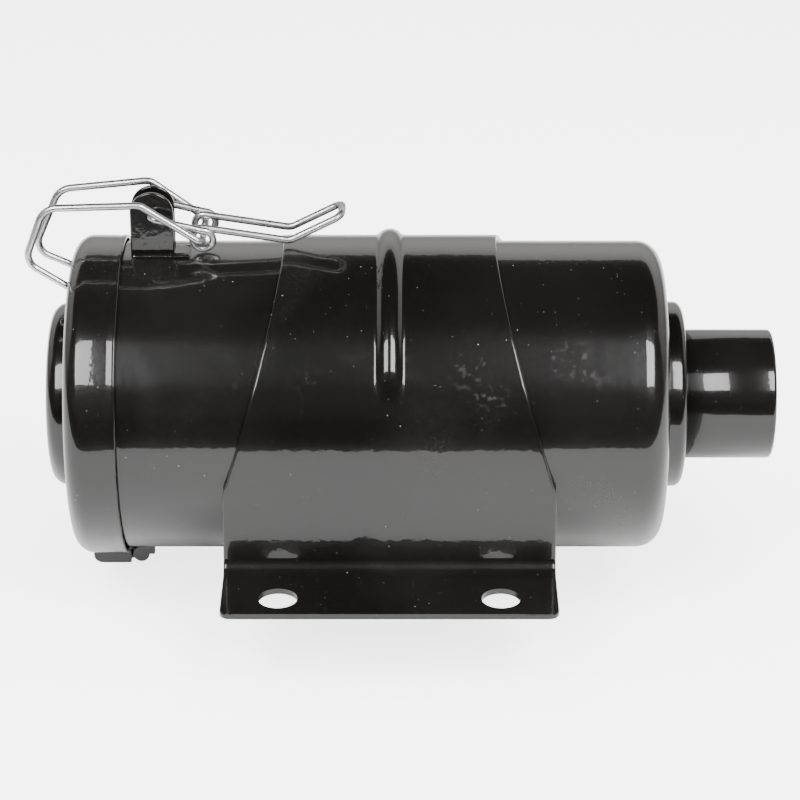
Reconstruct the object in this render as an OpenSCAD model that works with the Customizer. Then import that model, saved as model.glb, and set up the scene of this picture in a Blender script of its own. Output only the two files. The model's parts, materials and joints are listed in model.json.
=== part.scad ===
// Inline canister filter: sheet-steel can in a saddle bracket, with a wire-bail end cover.
// Millimetres. X runs along the can towards the outlet, Z is up. The origin is the centre of
// the four foot holes, on the undersides of the feet.

/* [Can] */
// Outside radius of the can
can_r = 53.5; // [50:0.5:56]
// Sheet thickness of the can, the cover and the collar
sheet_t = 1.2; // [1:0.1:1.4]
// Right-hand end of the can
can_end_x = 94; // [90:1:98]
// Open left-hand rim of the can, under the cover
can_rim_x = -101; // [-102:0.5:-100]
// Outside corner radius of the closed end
can_corner_r = 8.4; // [7:0.2:9]
// Height of the can's axis above the undersides of the feet
axis_h = 40; // [38:0.5:42]

/* [Outlet] */
// Outside radius of the outlet spigot
outlet_r = 22.5; // [22:0.1:23]
// Free end of the outlet spigot
outlet_end_x = 133; // [125:1:140]
// Inner end of the outlet spigot, where the element sits on it
outlet_inner_x = 72; // [70:1:76]
// Wall of both spigots
spigot_wall = 1.5; // [1.2:0.1:2]
// Radius of the raised collar round the outlet
collar_r = 32.3; // [30:0.1:34]
// Height of the collar above the can's end
collar_h = 7.4; // [6:0.2:9]

/* [Inlet] */
// Place of the inlet spigot along the can
inlet_x = 16; // [0:1:24]
// Length of the inlet spigot below the can
inlet_drop = 18; // [14:1:22]

/* [Bracket] */
// Sheet thickness of the saddle bracket
strap_t = 2; // [1.6:0.2:2.4]
// Half-width of the bracket at the feet
foot_half_w = 56; // [54:0.5:58]
// Half-width of the bracket over the top of the can
crown_half_w = 35.3; // [32:0.5:38]
// Depth below the can's axis where the bracket's sides turn vertical
flare_end_z = -11.5; // [-15:0.5:-8]
// Distance of the feet's outer edges from the middle
foot_edge_y = 88.5; // [86:0.5:92]
// Inside radius of the bend into each foot
bend_r = 5; // [4:0.5:7]
// Lean of the legs from upright, outwards at the feet
leg_lean = 4.5; // [0:0.5:6]
// Corner radius of the feet
foot_corner_r = 3; // [1:0.5:5]
// Height of the pressed rib over the bracket
rib_h = 2.2; // [1.5:0.1:2.5]
// Width of the pressed rib
rib_w = 8.7; // [7:0.1:10]
// Angle from the top at which the rib fades out
rib_angle = 58; // [50:1:65]
// Foot hole radius
foot_hole_r = 6.5; // [5.5:0.5:7]
// Foot hole spacing along the can
foot_hole_dx = 74; // [70:1:78]
// Foot hole spacing across the can
foot_hole_dy = 156; // [154:1:158]

/* [Cover] */
// Outside radius of the cover's skirt
cover_r = 55.6; // [55.5:0.1:56]
// Edge of the skirt, the visible seam
cover_edge_x = -91; // [-92:0.5:-90]
// Crest of the cover's end face
cover_face_x = -109; // [-110:0.5:-108.5]
// Outside corner radius of the cover
cover_corner_r = 6.5; // [6:0.1:7]
// Radius of the raised boss in the middle of the cover
boss_r = 31.8; // [30:0.1:32]
// Height of the boss above the crest
boss_h = 8.3; // [7:0.1:9]
// Edge radius of the boss
boss_corner_r = 5; // [4:0.2:6]
// Section radius of the ring groove that holds the bail's crossbar
groove_section_r = 5.6; // [5.4:0.1:5.7]
// Radius of the ring groove's centre line
groove_ring_r = 43.5; // [43.4:0.1:43.6]

/* [Latch] */
// Wire diameter of the lever and the bail
wire_d = 2.5; // [2.3:0.1:2.6]
// Pivot of the lever, along the can
pivot_x = -80.7; // [-81:0.1:-80.5]
// Pivot of the lever, above the can's axis
pivot_z = 69.3; // [69:0.1:69.6]
// Width of the latch bracket along the can
latch_w = 14.8; // [14:0.2:15]
// Width of the latch bracket across the can
latch_d = 8.3; // [8:0.1:8.4]
// Sheet thickness of the latch bracket
latch_t = 1.8; // [1.5:0.1:2]
// Centre of the lever's coils, along the can
coil_x = -63.3; // [-63.5:0.1:-63]
// Centre of the lever's coils, above the can's axis
coil_z = 61.5; // [61.3:0.1:61.8]
// Radius of the coils, to the middle of the wire
coil_r = 3.5; // [3.4:0.1:3.6]

/* [Hinge] */
// Hinge pin, along the can
hinge_x = -88.5; // [-88.7:0.1:-88.3]
// Hinge pin, relative to the can's axis
hinge_z = -59; // [-59.2:0.1:-58.9]
// Hinge pin radius
hinge_pin_r = 1.5; // [1.4:0.05:1.6]
// Length of the hinge pin
hinge_pin_l = 18; // [17:0.5:18]

/* [Element] */
// Outside radius of the filter element's end caps
element_r = 44; // [42:0.5:46]
// Left-hand face of the closed end cap
element_x0 = -88; // [-88:0.5:-86]
// Right-hand face of the open end cap
element_x1 = 81; // [80:0.5:84]
// Number of pleats
pleats = 40; // [24:2:60]

/* [Hidden] */
$fn = 96;
paint = "#1c1c1c";
steel = "silver";
rubber = "#2b2b2b";
eps = 0.01;           // overlap that keeps cuts clean
fit = 0.05;           // gap between nested fixed parts
run = 0.07;           // radial running clearance
wire_r = wire_d / 2;
wire_fn = 12;
strap_r = can_r + fit;
foot_top_z = strap_t - axis_h;
collar_x = can_end_x + collar_h;
neck_r = outlet_r - 0.6;  // radius of the spigots inside the can: an invented step, a plain tube has none
hose_stop = 1;            // distance of that step from the can or the collar
reach = 10;               // how far a cut passes beyond the sheet it opens

// Points of the wire forms: [along X, across Y, above the can's axis], front half at -Y
lever_outer_y = 8.65;                    // short arms, outside the coils
lever_inner_y = 5.95;                    // handle arms, inside the coils
bail_y = 11.5;                           // bail arms
handle_bend = [-33.9, 60.4];
handle_tip = [-16.2, 69.4];
bail_front = [[-83.8, 75.2], [-116.2, 74.2], [-123.3, 54.9]];
bail_rear = [[-82.1, 75.4], [-113.4, 72.2], [-123.1, 49.9]];
crossbar_x = -105.8;
crossbar_front_z = 43.4;
crossbar_rear_z = 42;

// ---------- helpers ----------

// Work in the frame of the can's axis
module on_axis() translate([0, 0, axis_h]) children();

// Turn a 2D profile (radius, X) about the can's axis
module turned() rotate([0, 90, 0]) rotate_extrude() children();

// A bar along X or Y with its middle line at z
module bar_x(r, x0, x1) translate([x0, 0, 0]) rotate([0, 90, 0]) cylinder(r = r, h = x1 - x0);
module bar_y(r, y0, y1) translate([0, y0, 0]) rotate([-90, 0, 0]) cylinder(r = r, h = y1 - y0);

// 2D disc section from the axis out to r, face at x1 with a round corner, back at x0
module disc_profile(r, x0, x1, corner) {
    s = sign(x1 - x0);
    translate([0, min(x0, x1 - s * corner)]) square([r, abs(x1 - x0) - corner]);
    translate([0, min(x0, x1)]) square([r - corner, abs(x1 - x0)]);
    translate([r - corner, x1 - s * corner]) circle(corner);
}

// 2D box from corner to corner
module box2(a, b) translate([min(a.x, b.x), min(a.y, b.y)])
    square([abs(b.x - a.x), abs(b.y - a.y)]);

// A plain ring round the can's axis
module ring(r0, r1, x0, x1) turned() box2([r0, x0], [r1, x1]);

function unit(v) = v / norm(v);

// Arc of radius r that rounds the corner q between p and s
function bend(p, q, s, r, n = 4) =
    let (u = unit(p - q), v = unit(s - q), half = acos(u * v) / 2)
    let (start = q + u * r / tan(half), end = q + v * r / tan(half))
    let (centre = q + unit(u + v) * r / sin(half), sweep = 180 - 2 * half)
    [for (k = [0:n]) let (w = sweep * k / n)
        centre + ((start - centre) * sin(sweep - w) + (end - centre) * sin(w)) / sin(sweep)];

// Frames carried along a path without twisting
function tangents(p) =
    [for (i = [0:len(p) - 1]) unit(p[min(i + 1, len(p) - 1)] - p[max(i - 1, 0)])];
function carried(t, n, i = 0) = i >= len(t) ? [] :
    let (m = unit(n - (n * t[i]) * t[i])) concat([m], carried(t, m, i + 1));

// Round wire of radius r along a path, as one closed solid
module wire(p, r, sides, first_normal) {
    t = tangents(p);
    n = carried(t, first_normal);
    last = len(p) - 1;
    points = [for (i = [0:last]) for (k = [0:sides - 1]) let (a = 360 * k / sides)
        p[i] + r * (cos(a) * n[i] + sin(a) * cross(t[i], n[i]))];
    side_faces = [for (i = [0:last - 1]) for (k = [0:sides - 1])
        let (a = i * sides + k, b = i * sides + (k + 1) % sides)
        each [[b, a, a + sides], [b, a + sides, b + sides]]];
    first_cap = [for (k = [0:sides - 1]) k];
    last_cap = [for (k = [sides - 1:-1:0]) last * sides + k];
    polyhedron(points, concat(side_faces, [first_cap], [last_cap]), convexity = 10);
}

// A path mirrored to the rear and walked back, so that both halves make one wire
function there_and_back(front, rear) =
    concat(front, [for (i = [len(rear) - 1:-1:0]) [rear[i].x, -rear[i].y, rear[i].z]]);

// ---------- can ----------

module canister_shell() color(paint) on_axis() difference() {
    turned() disc_profile(can_r, can_rim_x, can_end_x, can_corner_r);
    turned() translate([0, -eps])
        disc_profile(can_r - sheet_t, can_rim_x, can_end_x - sheet_t + eps,
                     can_corner_r - sheet_t);
    bar_x(neck_r + fit, can_end_x - reach, can_end_x + reach);
    translate([inlet_x, 0, -can_r - reach]) cylinder(r = neck_r + fit, h = 2 * reach);
}

collar_corner_r = 3;

module outlet_collar() color(paint) on_axis() difference() {
    turned() disc_profile(collar_r, can_end_x, collar_x, collar_corner_r);
    turned() translate([0, -eps])
        disc_profile(collar_r - sheet_t, can_end_x, collar_x - sheet_t + eps,
                     collar_corner_r - sheet_t);
    bar_x(neck_r + fit, can_end_x - 1, collar_x + 1);
}

spigot_edge_r = 2.6;

module outlet_spigot() color(paint) on_axis() difference() {
    union() {
        turned() disc_profile(outlet_r, collar_x + hose_stop, outlet_end_x, spigot_edge_r);
        bar_x(neck_r, outlet_inner_x, collar_x + hose_stop + eps);
    }
    bar_x(outlet_r - spigot_wall, outlet_inner_x - 1, outlet_end_x + 1);
}

inlet_saddle = 10;         // reach of the inlet's neck, cut back to the can's inner wall

module inlet_spigot() color(paint) on_axis() translate([inlet_x, 0, 0]) difference() {
    union() {
        translate([0, 0, -can_r - inlet_drop]) cylinder(r = outlet_r, h = inlet_drop - hose_stop);
        translate([0, 0, -can_r - hose_stop - eps]) cylinder(r = neck_r, h = inlet_saddle);
    }
    translate([0, 0, -can_r - inlet_drop - 1]) cylinder(r = outlet_r - spigot_wall, h = 50);
    translate([-inlet_x, 0, 0]) bar_x(can_r - sheet_t, can_rim_x, can_end_x);
}

// ---------- saddle bracket ----------

// Half of the bracket's section in the YZ plane, drawn towards +Y: crown, leaning leg, bend, foot
module strap_section() {
    n = [cos(leg_lean), sin(leg_lean)];
    bend_z = foot_top_z + bend_r;
    bend_y = (strap_r + strap_t + bend_r - n.y * bend_z) / n.x;
    centre = [bend_y, bend_z];
    far = 2 * can_r;
    difference() {
        intersection() {
            circle(strap_r + strap_t);
            polygon([[-eps, -eps], far * n - [0, eps], [far, far], [-eps, far]]);
        }
        circle(strap_r);
    }
    polygon([strap_r * n, (strap_r + strap_t) * n, centre - bend_r * n,
             centre - (bend_r + strap_t) * n]);
    translate(centre) difference() {
        intersection() {
            circle(bend_r + strap_t);
            polygon([[0, 0], -far * n, [-far, -far], [0, -far]]);
        }
        circle(bend_r);
    }
    translate([bend_y, foot_top_z - strap_t]) square([foot_edge_y - bend_y, strap_t]);
}

// The section run along X for both sides of the can
module strap_blank() for (side = [0, 1]) mirror([0, side, 0])
    rotate([90, 0, 90]) translate([0, 0, -foot_half_w])
        linear_extrude(2 * foot_half_w) strap_section();

// The bracket's outline seen from the front: flared sides down to upright ones
module strap_outline() rotate([90, 0, 0]) translate([0, 0, -foot_edge_y - 1])
    linear_extrude(2 * foot_edge_y + 2)
        polygon([[-crown_half_w, can_r + 5], [-foot_half_w, flare_end_z],
                 [-foot_half_w, -axis_h - 1], [foot_half_w, -axis_h - 1],
                 [foot_half_w, flare_end_z], [crown_half_w, can_r + 5]]);

// The bracket seen from above, with round corners on the feet
module strap_plan() translate([0, 0, -axis_h - 1]) linear_extrude(axis_h + can_r + 10) {
    square([2 * (foot_half_w - foot_corner_r), 2 * foot_edge_y], center = true);
    square([2 * foot_half_w, 2 * (foot_edge_y - foot_corner_r)], center = true);
    for (x = [-1, 1], y = [-1, 1])
        translate([x * (foot_half_w - foot_corner_r), y * (foot_edge_y - foot_corner_r)])
            circle(foot_corner_r);
}

// Pressed rib: part of a ring of round section over the crown
module strap_rib() {
    section_r = (rib_w * rib_w / 4 + rib_h * rib_h) / (2 * rib_h);
    ring_r = strap_r + strap_t + rib_h - section_r;
    rotate([90 - rib_angle, 0, 0]) rotate([0, 90, 0]) rotate([0, 0, 90])
        rotate_extrude(angle = 2 * rib_angle) intersection() {
            translate([ring_r, 0]) circle(section_r);
            translate([strap_r + strap_t / 2, -rib_w]) square([rib_w, 2 * rib_w]);
        }
}

module mounting_strap() color(paint) on_axis() {
    difference() {
        intersection() {
            strap_blank();
            strap_outline();
            strap_plan();
        }
        for (x = [-1, 1], y = [-1, 1])
            translate([x * foot_hole_dx / 2, y * foot_hole_dy / 2, -axis_h - 1])
                cylinder(r = foot_hole_r, h = strap_t + 2);
    }
    strap_rib();
}

// ---------- latch ----------

latch_foot_l = 6;                        // welding foot behind the latch bracket

// Round-topped block of half-width r about the pivot, between two Y planes
module round_top(r, y0, y1) {
    translate([pivot_x, 0, pivot_z]) bar_y(r, y0, y1);
    translate([pivot_x - r, y0, 0]) cube([2 * r, y1 - y0, pivot_z]);
}

module latch_bracket() color(paint) on_axis() difference() {
    union() {
        round_top(latch_w / 2, -latch_d / 2, latch_d / 2);
        intersection() {
            ring(can_r, can_r + latch_t, pivot_x - latch_w / 2, pivot_x + latch_w / 2 + latch_foot_l);
            translate([pivot_x - latch_w, -latch_d / 2, can_r - 5]) cube([3 * latch_w, latch_d, 10]);
        }
    }
    bar_x(can_r + fit, -100, 0);
    translate([pivot_x - latch_w, -latch_d / 2 + latch_t, can_r + latch_t])
        cube([3 * latch_w, latch_d - 2 * latch_t, pivot_z]);
    translate([pivot_x, 0, pivot_z]) bar_y(wire_r + run, -latch_d, latch_d);
}

function in_plane(p, y) = [p.x, y, p.y];

// One turn of the lever's coil, from the top round by the right, moving inwards
function coil_path() = [for (k = [0:18]) let (a = 90 - 20 * k)
    [coil_x + coil_r * cos(a), -lever_outer_y + (lever_outer_y - lever_inner_y) * k / 18,
     coil_z + coil_r * sin(a)]];

function lever_half() =
    let (pin_end = [pivot_x, -1.2, pivot_z], elbow = [pivot_x, -lever_outer_y, pivot_z])
    let (coil = coil_path(), top = coil[0], knee = in_plane(handle_bend, -lever_inner_y))
    let (tip = in_plane(handle_tip, -lever_inner_y))
    concat([pin_end], bend(pin_end, elbow, top, 2), coil,
           bend(coil[18], knee, tip, 5), bend(knee, tip, [tip.x, 0, tip.z], 3.2));

module latch_lever() color(steel) on_axis()
    wire(there_and_back(lever_half(), lever_half()), wire_r, wire_fn, [1, 0, 0]);

// One half of the bail, from its end in the coil to the crossbar
function bail_half(corners, bar_z) =
    let (hook_end = [coil_x, -2.2, coil_z], elbow = [coil_x, -bail_y, coil_z])
    let (a = in_plane(corners[0], -bail_y), b = in_plane(corners[1], -bail_y))
    let (c = in_plane(corners[2], -bail_y), d = [crossbar_x, -bail_y, bar_z])
    concat([hook_end], bend(hook_end, elbow, a, 2.2), bend(elbow, a, b, 5), bend(a, b, c, 7),
           bend(b, c, d, 5.5), bend(c, d, [crossbar_x, 0, bar_z], 2.6));

module latch_bail() color(steel) on_axis()
    wire(there_and_back(bail_half(bail_front, crossbar_front_z),
                        bail_half(bail_rear, crossbar_rear_z)),
         wire_r, wire_fn, [1, 0, 0]);

// ---------- hinge ----------

lug_half_y = hinge_pin_l / 2;            // outer faces of the lug's ears
lug_ear_t = 2.4;
knuckle_half_y = lug_half_y - lug_ear_t - 0.4;

module hinge_lug() color(paint) on_axis() difference() {
    union() {
        intersection() {
            ring(can_r, can_r + 1.5, hinge_x - 1.2, hinge_x + 15);
            translate([hinge_x - 5, -lug_half_y, -can_r - 3]) cube([25, hinge_pin_l, 20]);
        }
        for (y = [-lug_half_y, lug_half_y - lug_ear_t]) {
            translate([hinge_x, 0, hinge_z]) bar_y(hinge_pin_r + 1.4, y, y + lug_ear_t);
            translate([hinge_x - 1.2, y, hinge_z]) cube([6, lug_ear_t, 6]);
        }
    }
    bar_x(can_r + fit, -100, 0);
    translate([hinge_x, 0, hinge_z]) bar_y(hinge_pin_r + fit, -20, 20);
}

module hinge_pin() color(steel) on_axis() translate([hinge_x, 0, hinge_z])
    bar_y(hinge_pin_r, -lug_half_y, lug_half_y);

tab_bottom_z = hinge_z - hinge_pin_r - 1.6;
tab_x0 = -105.3;
tab_t = 1.5;
tab_half_y = 9.6;
rivet_x = -94.6;
rivet_r = 1.1;
rivet_tail_h = 1.7;

// Channel under the cover's skirt, rolled round the hinge pin at its right-hand end
module hinge_tab() color(paint) on_axis() difference() {
    union() {
        difference() {
            translate([tab_x0, -tab_half_y, tab_bottom_z])
                cube([hinge_x - 3.6 - tab_x0, 2 * tab_half_y, 12]);
            translate([tab_x0 + tab_t, -tab_half_y + tab_t, tab_bottom_z + tab_t])
                cube([20, 2 * (tab_half_y - tab_t), 12]);
        }
        translate([tab_x0 + tab_t, -knuckle_half_y, tab_bottom_z])
            cube([hinge_x - tab_x0 - tab_t, 2 * knuckle_half_y, tab_t]);
        translate([hinge_x, 0, hinge_z])
            bar_y(hinge_z - tab_bottom_z, -knuckle_half_y, knuckle_half_y);
    }
    bar_x(cover_r + fit, -120, cover_edge_x + 0.6);
    bar_x(cover_r + fit, cover_edge_x, -70);
    translate([hinge_x, 0, hinge_z]) bar_y(hinge_pin_r + run, -20, 20);
    translate([rivet_x, 0, tab_bottom_z - 1]) cylinder(r = rivet_r + fit, h = tab_t + 2);
    difference() {
        translate([tab_x0 - 1, -20, tab_bottom_z - 1]) cube([4, 40, 4]);
        translate([tab_x0 + 3, 0, tab_bottom_z + 3]) bar_y(3, -20, 20);
    }
}

module tab_rivet() color(steel) on_axis() translate([rivet_x, 0, 0]) {
    translate([0, 0, tab_bottom_z - rivet_tail_h]) cylinder(r = rivet_r, h = tab_t + 2 * rivet_tail_h);
    translate([0, 0, tab_bottom_z + tab_t + fit]) cylinder(r = rivet_r + 0.8, h = rivet_tail_h);
}

// ---------- cover ----------

// Filled section of the cover, drawn inset from its outside surface by t
module cover_profile(t) difference() {
    union() {
        disc_profile(cover_r - t, cover_edge_x, cover_face_x + t, cover_corner_r - t);
        disc_profile(boss_r - t, cover_edge_x, cover_face_x - boss_h + t, boss_corner_r - t);
    }
    translate([groove_ring_r, cover_face_x - 0.5]) circle(groove_section_r + t);
}

module cover_cap() color(paint) on_axis() difference() {
    turned() cover_profile(0);
    turned() cover_profile(sheet_t);
    bar_x(cover_r - sheet_t, cover_edge_x - 1, cover_edge_x + 1);
}

gasket_r0 = 50.6;
gasket_r1 = 53.9;
gasket_t = 3;

module cover_gasket() color(rubber) on_axis()
    ring(gasket_r0, gasket_r1, can_rim_x - fit - gasket_t, can_rim_x - fit);

spring_r0 = 27;
spring_r1 = 12;
spring_turns = 4;
spring_wire_r = 1;
spring_x0 = cover_face_x - boss_h + sheet_t + spring_wire_r + 0.1;
spring_x1 = element_x0 - spring_wire_r - 0.3;

module element_spring() color(steel) on_axis() {
    steps = 16 * spring_turns;
    path = [for (i = [0:steps]) let (f = i / steps, a = 360 * spring_turns * f)
        let (r = spring_r0 + (spring_r1 - spring_r0) * f)
        [spring_x0 + (spring_x1 - spring_x0) * f, r * cos(a), r * sin(a)]];
    wire(path, spring_wire_r, 8, [1, 0, 0]);
}

// ---------- element ----------

cap_t = 3;
cap_rim_t = 1;
cap_rim_h = 5;
core_r = 26;
liner_r = element_r - cap_rim_t - fit;
tube_t = 0.8;              // sheet of the core and the liner
core_tube_r = core_r + 0.7;
media_gap = 0.2;           // from the paper to the core and the liner
pleat_t = 2.5;             // depth of paper along a radius
seat_r = spring_r1 + 4;    // recess that centres the spring
seat_depth = 0.6;
fill_x0 = element_x0 + cap_t + fit;
fill_x1 = element_x1 - cap_t - fit;

// Cap with its outer face at x and its rim pointing by dir, open inside r0
module element_cap(x, dir, r0) {
    ring(r0, element_r, x, x + dir * cap_t);
    ring(element_r - cap_rim_t, element_r, x, x + dir * (cap_t + cap_rim_h));
}

module element_open_cap() color(steel) on_axis() element_cap(element_x1, -1, core_r + fit);

module element_closed_cap() color(steel) on_axis() difference() {
    union() {
        bar_x(element_r - eps, element_x0, element_x0 + cap_t);
        element_cap(element_x0, 1, core_r);
    }
    bar_x(seat_r, element_x0 - 1, element_x0 + seat_depth);
}

// Slotted tube between the two caps
slot_l = 12;
slot_w = 3;
module perforated_tube(r, t, around, rows) difference() {
    ring(r - t, r, fill_x0, fill_x1);
    for (i = [0:rows - 1], k = [0:around - 1])
        translate([fill_x0 + (fill_x1 - fill_x0) * (i + 0.5) / rows, 0, 0])
            rotate([360 * k / around, 0, 0])
                translate([-slot_l / 2, -slot_w / 2, r - t - 1]) cube([slot_l, slot_w, t + 2]);
}

module element_core() color(steel) on_axis() perforated_tube(core_tube_r, tube_t, 8, 7);

module element_liner() color(steel) on_axis() perforated_tube(liner_r, tube_t, 12, 7);

// Star of folds between the two radii
module pleat_star(tip_r, root_r) polygon([for (i = [0:2 * pleats - 1])
    let (a = 180 * i / pleats) (i % 2 == 0 ? tip_r : root_r) * [cos(a), sin(a)]]);

module element_media() color("wheat") on_axis() rotate([90, 0, 90])
    translate([0, 0, fill_x0]) linear_extrude(fill_x1 - fill_x0) difference() {
        tip_r = liner_r - tube_t - media_gap;
        root_r = core_tube_r + media_gap;
        pleat_star(tip_r, root_r + pleat_t);
        pleat_star(tip_r - pleat_t, root_r);
    }

module element_seal() color(rubber) on_axis() difference() {
    ring(neck_r, core_r - 0.2, outlet_inner_x + 1, element_x1 + 1);
    bar_x(neck_r + fit, outlet_inner_x, element_x1 + 2);
}

canister_shell();
outlet_collar();
outlet_spigot();
inlet_spigot();
mounting_strap();
latch_bracket();
hinge_lug();
hinge_pin();
element_open_cap();
element_closed_cap();
element_core();
element_media();
element_liner();
element_seal();
cover_cap();
cover_gasket();
hinge_tab();
tab_rivet();
element_spring();
latch_lever();
latch_bail();
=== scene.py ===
"""Inline canister filter: glossy black sheet steel, zinc-plated wire latch, pale floor."""

import json
import math

import bmesh
import bpy
import numpy as np
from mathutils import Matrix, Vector


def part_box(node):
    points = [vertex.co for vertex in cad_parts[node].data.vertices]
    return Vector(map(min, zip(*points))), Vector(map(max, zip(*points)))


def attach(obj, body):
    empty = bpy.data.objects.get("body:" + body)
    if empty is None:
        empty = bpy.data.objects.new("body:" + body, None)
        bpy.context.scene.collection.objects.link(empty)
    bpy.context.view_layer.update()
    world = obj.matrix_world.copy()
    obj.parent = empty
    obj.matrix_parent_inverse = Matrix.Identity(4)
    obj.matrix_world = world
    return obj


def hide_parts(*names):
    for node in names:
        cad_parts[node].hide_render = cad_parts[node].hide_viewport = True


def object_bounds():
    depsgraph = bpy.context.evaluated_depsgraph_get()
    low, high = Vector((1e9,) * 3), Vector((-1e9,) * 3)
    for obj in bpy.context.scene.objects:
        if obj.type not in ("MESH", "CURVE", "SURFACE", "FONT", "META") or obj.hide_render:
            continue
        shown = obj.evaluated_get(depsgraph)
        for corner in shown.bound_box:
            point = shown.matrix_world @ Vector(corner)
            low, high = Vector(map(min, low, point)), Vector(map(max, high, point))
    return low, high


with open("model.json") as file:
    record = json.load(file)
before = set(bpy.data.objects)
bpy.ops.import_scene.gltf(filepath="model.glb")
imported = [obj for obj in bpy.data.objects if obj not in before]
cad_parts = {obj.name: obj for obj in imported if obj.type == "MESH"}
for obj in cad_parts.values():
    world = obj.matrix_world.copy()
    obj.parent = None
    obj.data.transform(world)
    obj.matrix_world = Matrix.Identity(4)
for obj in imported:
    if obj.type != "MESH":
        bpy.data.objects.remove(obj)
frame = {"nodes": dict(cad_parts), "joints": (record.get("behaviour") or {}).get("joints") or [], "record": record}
cad_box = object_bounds()
nodes = frame["nodes"]
MM = 0.001

# ---------------------------------------------------------------- places from the CAD
spig_lo, spig_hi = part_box("outlet_spigot")
can_lo, can_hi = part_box("canister_shell")
col_lo, col_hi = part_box("outlet_collar")
cov_lo, cov_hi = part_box("cover_cap")
inl_lo, inl_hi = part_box("inlet_spigot")
strap_lo, strap_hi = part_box("mounting_strap")
brk_lo, brk_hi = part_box("latch_bracket")
AXIS_Z = (spig_lo.z + spig_hi.z) / 2
CAN_R = (can_hi.y - can_lo.y) / 2
SPIGOT_R = (spig_hi.y - spig_lo.y) / 2
COLLAR_R = (col_hi.y - col_lo.y) / 2
COVER_R = (cov_hi.y - cov_lo.y) / 2
INLET_X = (inl_lo.x + inl_hi.x) / 2
SHEET = 1.2 * MM        # drawn sheet of the can, collar and cover
WALL = 1.5 * MM         # wall of the spigots
FIT = 0.05 * MM         # gap between nested parts
BITE = 0.1 * MM         # overlap that hides a joint between two skins
joints = {j["name"]: j for j in frame["joints"]}
PIVOT = Vector(joints["latch_lever"]["pos_m"])
COIL = Vector(joints["bail_pivot"]["pos_m"])


# ---------------------------------------------------------------- mesh helpers
def new_object(name, verts, faces, material, body, stands_for=()):
    """Smooth-shaded mesh that rides on a body and stands for the CAD nodes it covers."""
    mesh = bpy.data.meshes.new(name)
    mesh.from_pydata([tuple(v) for v in verts], [], faces)
    mesh.validate()
    obj = bpy.data.objects.new(name, mesh)
    bpy.context.scene.collection.objects.link(obj)
    work = bmesh.new()
    work.from_mesh(mesh)
    bmesh.ops.remove_doubles(work, verts=work.verts, dist=1e-7)
    bmesh.ops.dissolve_degenerate(work, edges=work.edges, dist=1e-8)
    bmesh.ops.recalc_face_normals(work, faces=work.faces)
    work.to_mesh(mesh)
    work.free()
    mesh.polygons.foreach_set("use_smooth", [True] * len(mesh.polygons))
    mesh.materials.append(material)
    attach(obj, body)
    if stands_for:
        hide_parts(*stands_for)
    return obj


def rounded(corners, steps=6, guard=0.35 * MM):
    """Closed outline (u, v, radius) -> points, each corner an arc with a guard point on both sides."""
    out = []
    count = len(corners)
    for i, (u, v, radius) in enumerate(corners):
        q = np.array([u, v])
        a = np.array(corners[i - 1][:2]) - q
        b = np.array(corners[(i + 1) % count][:2]) - q
        la, lb = np.linalg.norm(a), np.linalg.norm(b)
        a, b = a / la, b / lb
        cosine = float(np.clip(a @ b, -1, 1))
        if radius <= 0 or cosine < -0.9999:
            out.append(q)
            continue
        half = math.acos(cosine) / 2
        reach = min(radius / math.tan(half), 0.49 * la, 0.49 * lb)
        r = reach * math.tan(half)
        centre = q + (a + b) / np.linalg.norm(a + b) * r / math.sin(half)
        start, end = q + a * reach, q + b * reach
        if reach + guard < 0.49 * la:
            out.append(q + a * (reach + guard))
        sweep = math.pi - 2 * half
        for k in range(steps + 1):
            w = sweep * k / steps
            spoke = (start - centre) * math.sin(sweep - w) + (end - centre) * math.sin(w)
            out.append(centre + spoke / math.sin(sweep))
        if reach + guard < 0.49 * lb:
            out.append(q + b * (reach + guard))
    return out


def lathe(name, outline, material, body, stands_for=(), turns=224, about="x", centre=(0, 0, 0)):
    """Turns a closed outline of (along, radius) points about a line parallel to X or Z."""
    verts, faces = [], []
    m = len(outline)
    for k in range(turns):
        a = 2 * math.pi * k / turns
        for u, r in outline:
            if about == "x":
                verts.append((centre[0] + u, centre[1] + r * math.sin(a), centre[2] + r * math.cos(a)))
            else:
                verts.append((centre[0] + r * math.cos(a), centre[1] + r * math.sin(a), centre[2] + u))
    for k in range(turns):
        j = (k + 1) % turns
        for i in range(m):
            n = (i + 1) % m
            faces.append((k * m + i, k * m + n, j * m + n, j * m + i))
    return new_object(name, verts, faces, material, body, stands_for)


def unit(v):
    return v / np.linalg.norm(v)


def bend(p, q, s, radius, steps=10):
    """Arc that rounds the corner q between p and s."""
    p, q, s = (np.array(x, float) for x in (p, q, s))
    u, v = unit(p - q), unit(s - q)
    half = math.acos(float(np.clip(u @ v, -1, 1))) / 2
    start, end = q + u * radius / math.tan(half), q + v * radius / math.tan(half)
    centre = q + unit(u + v) * radius / math.sin(half)
    sweep = math.pi - 2 * half
    return [centre + ((start - centre) * math.sin(sweep - w) + (end - centre) * math.sin(w)) / math.sin(sweep)
            for w in (sweep * k / steps for k in range(steps + 1))]


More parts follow.
